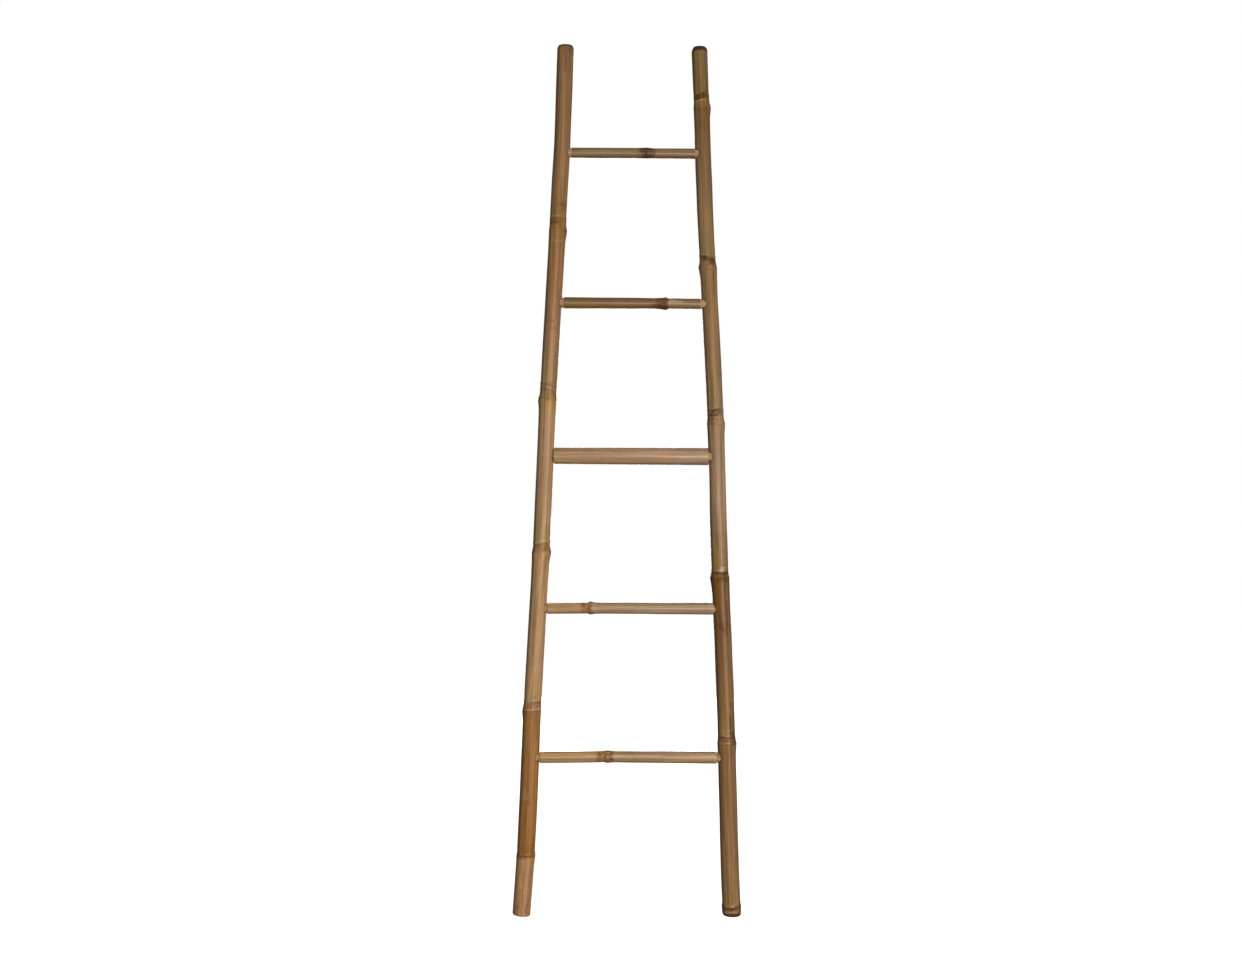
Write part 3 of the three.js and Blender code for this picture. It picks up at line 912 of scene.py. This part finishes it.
# The noises: how they are scaled across, in depth and along the culm, their scale and their detail.
NOISES = {
    "fine": ((1, 1, 0.035), 1300, 3),
    "broad": ((1, 1, 0.02), 260, 2),
    "patches": ((1, 1, 0.35), 60, 3),
    "mottle": ((1, 1, 0.5), 170, 3),
    "ragged": ((1, 1, 0.22), 430, 2),
    "specks": ((1, 1, 0.7), 620, 1),
    "strokes": ((1, 1, 0.5), 320, 2),
    "shades": ((1, 1, 1), 160, 3),
    "saw_marks": ((0.25, 1, 1), 900, 2),
}
BUNDLE_STRETCH = (1, 1, 0.06)
BUNDLE_SCALE = 900
RUST_NOISE = (900, 3)
STEEL_NOISE = (2500, 2)

# Where in its noise a shade begins and where it is full, then its strength at the two.
STREAK_STEP = (0.36, 0.64, -0.2, 0.2)
REDDISH_STEP = (0.5, 0.68, 0, 0.7)
OLIVE_STEP = (0.48, 0.3, 0, 0.6)
SPECK_STEP = (0.7, 0.78, 0, 0.55)
RAW_STEP = (0.75, 1.3)
BUNDLE_STEP = (0.24, 0.42)
PITH_STEP = (0.7, 1.3)
RUST_STEP = (0.55, 0.7, 0, 0.8)

# How much a noise varies the brightness, and how much it breaks up the edge of a mark.
FINE_CONTRAST = 0.44
MOTTLE_CONTRAST = 0.3
PATCH_CONTRAST = 0.4
CUT_CONTRAST = 1.1
RAGGEDNESS = 7

REDDISH = (1.05, 0.88, 0.72)
OLIVE = (0.90, 0.95, 0.80)
# Colour of the pale marks: pale fibres, and painted highlight where a pale mark is put under the
# light.
PALE_FIBRE_AND_HIGHLIGHT = (0.50, 0.36, 0.20)
RAW_WOOD = (0.62, 0.44, 0.26)
RAW_WOOD_DEEP = (0.34, 0.20, 0.09)
CUT_WOOD = (0.13, 0.095, 0.045)
CUT_FIBRE = (0.05, 0.034, 0.017)
PITH_LIGHT = (0.34, 0.24, 0.14)
PITH_DARK = (0.13, 0.08, 0.04)
STEEL = (0.36, 0.35, 0.33)
RUST = (0.12, 0.05, 0.02)

# Roughness in the middle and how much it varies, then what a full mark or full rust adds to it.
SKIN_ROUGHNESS = (0.42, 0.24)
RAW_ROUGHNESS = (0.6, 0.3)
CUT_ROUGHNESS = (0.65, 0.3)
PITH_ROUGHNESS = (0.8, 0.2)
COAT_ROUGHNESS = 0.26
STEEL_ROUGHNESS = 0.32
MARK_ROUGHENS = {"brown": 0.12, "dark": 0.2}
RUST_ROUGHENS = 0.4
RUST_METAL_LOSS = 0.8

# Relief: the heights of the patterns as multiples of the finest one, and the depth of the whole.
BROAD_RELIEF = 1.6
MOTTLE_RELIEF = 0.8
STAIN_RELIEF = -0.8
STROKE_RELIEF = 2
BUNDLE_RELIEF = 0.6
SKIN_BUMP = (0.12 * MM, 0.5)
WOOD_BUMP = (0.3 * MM, 1)
PITH_BUMP = (0.4 * MM, 1)
STEEL_BUMP = (0.05 * MM, 1)


class Graph:
    """A material being built from nodes. Inputs are sockets, numbers or colours."""

    def __init__(self, name):
        self.material = bpy.data.materials.new(name)
        self.material.use_nodes = True
        self.tree = self.material.node_tree
        self.shader = self.tree.nodes["Principled BSDF"]

    def node(self, kind, inputs, output=0, **settings):
        node = self.tree.nodes.new("ShaderNode" + kind)
        for key, value in settings.items():
            setattr(node, key, value)
        for key, value in inputs.items():
            self.feed(node.inputs[key], value)
        return node.outputs[output]

    def feed(self, socket, value):
        if isinstance(value, bpy.types.NodeSocket):
            self.tree.links.new(value, socket)
        elif isinstance(value, (tuple, list)) and len(value) == 3 and len(socket.default_value) == 4:
            socket.default_value = (*value, 1)
        else:
            socket.default_value = value

    def attribute(self, name, output):
        return self.node("Attribute", {}, output, attribute_name=name)

    def math(self, operation, a, b, c=0.0):
        return self.node("Math", {0: a, 1: b, 2: c}, operation=operation)

    def step(self, value, low, high, to_low=0.0, to_high=1.0):
        """A soft step from to_low to to_high."""
        ends = {"From Min": low, "From Max": high, "To Min": to_low, "To Max": to_high}
        return self.node("MapRange", {"Value": value, **ends}, interpolation_type="SMOOTHSTEP")

    def vary(self, noise, value, contrast):
        """A value that is higher where a noise is above a half and lower where it is below."""
        return self.math("MULTIPLY_ADD", noise, contrast, self.math("SUBTRACT", value, contrast / 2))

    def stretched(self, factors):
        """The place on the culm, scaled along each axis."""
        inputs = {0: self.attribute("place", VECTOR_OUT), 1: factors}
        return self.node("VectorMath", inputs, operation="MULTIPLY")

    def noise(self, vector, scale, detail):
        return self.node("TexNoise", {"Vector": vector, "Scale": scale, "Detail": detail})

    def patterns(self, *names):
        """The noises of these names, fixed to the culm."""
        for name in names:
            factors, scale, detail = NOISES[name]
            yield self.noise(self.stretched(factors), scale, detail)

    def mix(self, factor, a, b, blend="MIX"):
        node = self.tree.nodes.new("ShaderNodeMix")
        node.data_type = "RGBA"
        node.blend_type = blend
        for number, value in zip(MIX_INPUTS, (factor, a, b)):
            self.feed(node.inputs[number], value)
        return node.outputs[MIX_OUT]

    def brighten(self, colour, factor):
        return self.node("VectorMath", {0: colour, "Scale": factor}, operation="SCALE")

    def clamp(self, value):
        return self.node("Clamp", {"Value": value})

    def stain(self, share, colour, stain):
        return self.mix(share, colour, stain, "MULTIPLY")

    def darkened(self, colour, stain):
        """A colour darkened by the dark attribute: the dark marks, painted shade among them, and the
        darker joints and cut ends.
        """
        return self.stain(self.clamp(self.attribute("dark", VALUE_OUT)), colour, stain)

    def set(self, **inputs):
        """Sets inputs of the shader and returns the material."""
        for name, value in inputs.items():
            self.feed(self.shader.inputs[name.replace("_", " ")], value)
        return self.material

    def surface(self, colour, roughness, relief, bump, **others):
        """Sets the shader of a surface with a relief of this (depth, strength)."""
        depth, strength = bump
        normal = self.node("Bump", {"Height": relief, "Distance": depth, "Strength": strength})
        return self.set(Base_Color=colour, Roughness=roughness, Normal=normal, **others)


def ragged_mark(graph, tone, noise):
    """A mark whose edges and half tones are broken up by noise."""
    mark = graph.attribute(tone, VALUE_OUT)
    between = graph.math("MULTIPLY", mark, graph.math("SUBTRACT", 1.0, mark))
    shift = graph.math("MULTIPLY", between, graph.vary(noise, 0.0, RAGGEDNESS))
    return graph.clamp(graph.math("ADD", mark, shift))


def bamboo_skin(name, specular, coat):
    """Varnished bamboo: streaked along its fibres, mottled, with the marks of its nodes."""
    graph = Graph(name)
    fine, broad, patches, mottle = graph.patterns("fine", "broad", "patches", "mottle")
    ragged, specks = graph.patterns("ragged", "specks")

    value = graph.vary(fine, 1.0, FINE_CONTRAST)
    value = graph.math("ADD", value, graph.step(broad, *STREAK_STEP))
    value = graph.vary(mottle, value, MOTTLE_CONTRAST)
    value = graph.vary(patches, value, PATCH_CONTRAST)
    colour = graph.brighten(graph.attribute("tone", COLOUR_OUT), value)
    colour = graph.stain(graph.step(patches, *REDDISH_STEP), colour, REDDISH)
    colour = graph.stain(graph.step(broad, *OLIVE_STEP), colour, OLIVE)

    marks = {tone: ragged_mark(graph, tone, ragged) for tone in MARK_TONES}
    for tone, stain in STAINS.items():
        colour = graph.stain(marks[tone], colour, stain)
    # Pale marks, some of which are painted highlight, cover the colour.
    colour = graph.mix(marks["pale"], colour, PALE_FIBRE_AND_HIGHLIGHT)
    speck = graph.step(specks, *SPECK_STEP)
    colour = graph.stain(speck, colour, STAINS["dark"])

    roughness = graph.vary(patches, *SKIN_ROUGHNESS)
    for tone, rougher in MARK_ROUGHENS.items():
        roughness = graph.math("MULTIPLY_ADD", marks[tone], rougher, roughness)
    relief = graph.math("MULTIPLY_ADD", broad, BROAD_RELIEF, fine)
    relief = graph.math("MULTIPLY_ADD", mottle, MOTTLE_RELIEF, relief)
    for stain in (marks["dark"], speck):
        relief = graph.math("MULTIPLY_ADD", stain, STAIN_RELIEF, relief)
    return graph.surface(colour, roughness, relief, SKIN_BUMP, Specular_IOR_Level=specular,
                         Coat_Weight=coat, Coat_Roughness=COAT_ROUGHNESS)


def raw_wood():
    """The shaved tenons and shoulders: pale fibres with knife strokes."""
    graph = Graph("raw_bamboo")
    fine, broad, patches, strokes = graph.patterns("fine", "broad", "patches", "strokes")
    share = graph.step(graph.math("ADD", fine, broad), *RAW_STEP)
    colour = graph.darkened(graph.mix(share, RAW_WOOD_DEEP, RAW_WOOD), STAINS["brown"])
    relief = graph.math("MULTIPLY_ADD", strokes, STROKE_RELIEF, fine)
    return graph.surface(colour, graph.vary(patches, *RAW_ROUGHNESS), relief, WOOD_BUMP)


def cut_wood():
    """Sawn and whittled ends: stained wood with the dark ends of the fibres in it."""
    graph = Graph("cut_bamboo")
    shades, saw_marks = graph.patterns("shades", "saw_marks")
    inputs = {"Vector": graph.stretched(BUNDLE_STRETCH), "Scale": BUNDLE_SCALE}
    bundles = graph.step(graph.node("TexVoronoi", inputs), *BUNDLE_STEP)
    colour = graph.mix(bundles, CUT_FIBRE, CUT_WOOD)
    colour = graph.brighten(colour, graph.vary(shades, 1.0, CUT_CONTRAST))
    colour = graph.darkened(colour, STAINS["dark"])
    relief = graph.math("MULTIPLY_ADD", bundles, BUNDLE_RELIEF, saw_marks)
    return graph.surface(colour, graph.vary(shades, *CUT_ROUGHNESS), relief, WOOD_BUMP)


def pith():
    """The dry inside of a culm."""
    graph = Graph("bamboo_pith")
    fine, broad, patches = graph.patterns("fine", "broad", "patches")
    share = graph.step(graph.math("ADD", broad, patches), *PITH_STEP)
    colour = graph.mix(share, PITH_DARK, PITH_LIGHT)
    return graph.surface(colour, graph.vary(patches, *PITH_ROUGHNESS), fine, PITH_BUMP)


def nail_steel():
    """Wire nails: dull steel with small spots of rust."""
    graph = Graph("nail_steel")
    place = graph.node("TexCoord", {}, OBJECT_PLACE_OUT)
    rust = graph.step(graph.noise(place, *RUST_NOISE), *RUST_STEP)
    roughness = graph.math("MULTIPLY_ADD", rust, RUST_ROUGHENS, STEEL_ROUGHNESS)
    metallic = graph.math("MULTIPLY_ADD", rust, -RUST_METAL_LOSS, 1.0)
    relief = graph.noise(place, *STEEL_NOISE)
    colour = graph.mix(rust, STEEL, RUST)
    return graph.surface(colour, roughness, relief, STEEL_BUMP, Metallic=metallic)


rail_skin = bamboo_skin("rail_skin", specular=0.3, coat=0.12)
rung_skin = bamboo_skin("rung_skin", specular=0.5, coat=0.4)
raw = raw_wood()
cut_faces = cut_wood()
inside = pith()
steel = nail_steel()

# ==== The pieces ====

SHARP_ANGLE = 38
NAIL_SEGMENTS = 28
NAIL_HEAD_HEIGHT = 1.3 * MM
NAIL_HEAD_EDGE = 0.25 * MM
NAIL_POINT = 3 * MM

# Shares of a nail: its flat top of the head, its crown of the edge's height and of the head, its
# neck of the shank, and its blunt tip of the point's length and of the shank.
NAIL_FLAT = 0.6
NAIL_CROWN = (0.3, 0.88)
NAIL_NECK = 1.15
NAIL_TIP = (0.1, 0.2)


def finish_piece(piece, body, node):
    """Shades a piece, sets it on the root body and hides the CAD node that it replaces."""
    piece.data.shade_smooth()
    piece.data.set_sharp_from_angle(angle=math.radians(SHARP_ANGLE))
    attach(piece, body)
    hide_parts(node)


def make_culm(culm):
    """A rail or a rung, drilled and painted."""
    lathe = rail_lathe(culm) if culm.is_rail else rung_lathe(culm)
    piece = lathe.build(f"{culm.name}_culm")
    for material in (rail_skin if culm.is_rail else rung_skin, raw, cut_faces, inside):
        piece.data.materials.append(material)
    own = [joint for joint in joints if culm.name in (joint.rail, joint.rung)]
    if culm.is_rail:
        for joint in own:
            for hole in mortise(joint):
                cut(piece, [hole], RAW)
    cut(piece, [nail_hole(joint) for joint in own], RAW)
    paint(culm, piece)
    finish_piece(piece, "root", culm.name)


def make_nail(joint):
    """A wire nail with its head on the back of the rail and its point towards the front."""
    low, high = joint.nail_box
    middle = (low + high) / 2
    head = (high.x - low.x) / 2
    shank = head * NAIL_SHANK_SHARE
    under_head = high.y - NAIL_HEAD_HEIGHT
    profile = [
        (high.y, head * NAIL_FLAT),
        (high.y - NAIL_HEAD_EDGE * NAIL_CROWN[0], head * NAIL_CROWN[1]),
        (high.y - NAIL_HEAD_EDGE, head),
        (under_head + NAIL_HEAD_EDGE, head),
        (under_head, head - NAIL_HEAD_EDGE),
        (under_head, shank * NAIL_NECK),
        (under_head - NAIL_HEAD_EDGE, shank),
        (low.y + NAIL_POINT, shank),
        (low.y + NAIL_POINT * NAIL_TIP[0], shank * NAIL_TIP[1]),
    ]
    turns = [2 * math.pi * i / NAIL_SEGMENTS for i in range(NAIL_SEGMENTS)]
    mesh = bmesh.new()
    rows = []
    for place, radius in profile:
        rows.append([
            mesh.verts.new((middle.x + radius * math.cos(t), place, middle.z + radius * math.sin(t)))
            for t in turns
        ])
    top = mesh.verts.new((middle.x, high.y, middle.z))
    tip = mesh.verts.new((middle.x, low.y, middle.z))
    for i in range(NAIL_SEGMENTS):
        beside = (i + 1) % NAIL_SEGMENTS
        mesh.faces.new((top, rows[0][beside], rows[0][i]))
        for upper, lower in zip(rows, rows[1:]):
            mesh.faces.new((upper[i], upper[beside], lower[beside], lower[i]))
        mesh.faces.new((tip, rows[-1][i], rows[-1][beside]))
    bmesh.ops.recalc_face_normals(mesh, faces=mesh.faces)
    data = bpy.data.meshes.new(joint.nail + "_wire")
    mesh.to_mesh(data)
    mesh.free()
    piece = add_object(joint.nail + "_wire", data)
    data.materials.append(steel)
    finish_piece(piece, "root", joint.nail)


for culm in culms.values():
    make_culm(culm)
for joint in joints:
    make_nail(joint)

# ==== Floor, light and camera ====

CAMERA_PLACE = (-0.0124, -3.3, 0.951)
CAMERA_LENS = 43.76
CAMERA_SENSOR = 36
FLOOR_SIZE = 60
FLOOR_GREY = (0.35, 0.35, 0.35)
FLOOR_ROUGHNESS = 0.9
WORLD_DIFFUSE = 0.05
WORLD_GLOSSY = 0.1
WHITE = (1, 1, 1)
WARM = (1, 0.96, 0.88)
COOL = (0.82, 0.94, 1)

# The area lights: name, place, the point they face, size, power, colour, whether the object
# mirrors them and whether they light it.
LIGHTS = [
    ("key", (1.62, -2.75, 0.65), (0, 0, 0.65), (0.5, 1.25), 46, WARM, True, True),
    ("front", (0.3, -3.1, 1.0), (0, 0, 0.9), (0.9, 0.8), 28, WARM, True, True),
    ("top_fill", (0.1, -1.1, 2.5), (0, 0, 1.5), (0.8, 0.5), 8, WHITE, False, True),
    ("left_panel", (-3, -0.9, 1.0), (0, 0, 1.0), (1.0, 2.4), 14, WHITE, True, False),
    ("right_panel", (3, 0.4, 1.0), (0, 0, 1.0), (1.0, 2.4), 14, COOL, True, False),
    ("back_fill", (0, 3.4, 1.0), (0, 0, 1.0), (1.6, 1.6), 70, WHITE, True, True),
]


def make_floor():
    """A floor that looks white and neither lights the object nor shows in it."""
    bpy.ops.mesh.primitive_plane_add(size=FLOOR_SIZE)
    floor = bpy.context.object
    floor.name = "floor"
    graph = Graph("floor")
    graph.set(Base_Color=FLOOR_GREY, Roughness=FLOOR_ROUGHNESS,
              Emission_Color=WHITE, Emission_Strength=1.0)
    floor.data.materials.append(graph.material)
    floor.visible_diffuse = False
    floor.visible_glossy = False


def make_world():
    """White behind the object, with a dim even light from all round."""
    world = bpy.data.worlds.new("studio")
    bpy.context.scene.world = world
    world.use_nodes = True
    tree = world.node_tree
    tree.nodes.clear()
    kinds = ("LightPath", "MixShader", "MixShader", "OutputWorld")
    path, seen, mirrored, output = (tree.nodes.new("ShaderNode" + kind) for kind in kinds)

    def light(strength):
        background = tree.nodes.new("ShaderNodeBackground")
        background.inputs["Color"].default_value = (*WHITE, 1)
        background.inputs["Strength"].default_value = strength
        return background.outputs[0]

    tree.links.new(path.outputs["Is Glossy Ray"], mirrored.inputs[0])
    tree.links.new(light(WORLD_DIFFUSE), mirrored.inputs[1])
    tree.links.new(light(WORLD_GLOSSY), mirrored.inputs[2])
    tree.links.new(path.outputs["Is Camera Ray"], seen.inputs[0])
    tree.links.new(mirrored.outputs[0], seen.inputs[1])
    tree.links.new(light(1.0), seen.inputs[2])
    tree.links.new(seen.outputs[0], output.inputs["Surface"])


def make_light(name, place, target, size, power, colour, mirrored, lighting):
    """An area light that the camera doesn't see."""
    data = bpy.data.lights.new(name, "AREA")
    data.color = colour
    data.shape = "RECTANGLE"
    data.size, data.size_y = size
    data.energy = power
    light = add_object(name, data)
    light.location = place
    light.rotation_mode = "QUATERNION"
    light.rotation_quaternion = (Vector(target) - Vector(place)).to_track_quat("-Z", "Y")
    light.visible_camera = False
    light.visible_glossy = mirrored
    light.visible_diffuse = lighting


def make_camera():
    """A camera that looks straight at the front."""
    data = bpy.data.cameras.new("camera")
    data.lens = CAMERA_LENS
    data.sensor_width = CAMERA_SENSOR
    camera = add_object("camera", data)
    camera.location = CAMERA_PLACE
    camera.rotation_euler = (math.radians(90), 0, 0)
    bpy.context.scene.camera = camera


make_floor()
make_world()
for light in LIGHTS:
    make_light(*light)
make_camera()
bpy.context.scene.view_settings.view_transform = "Standard"
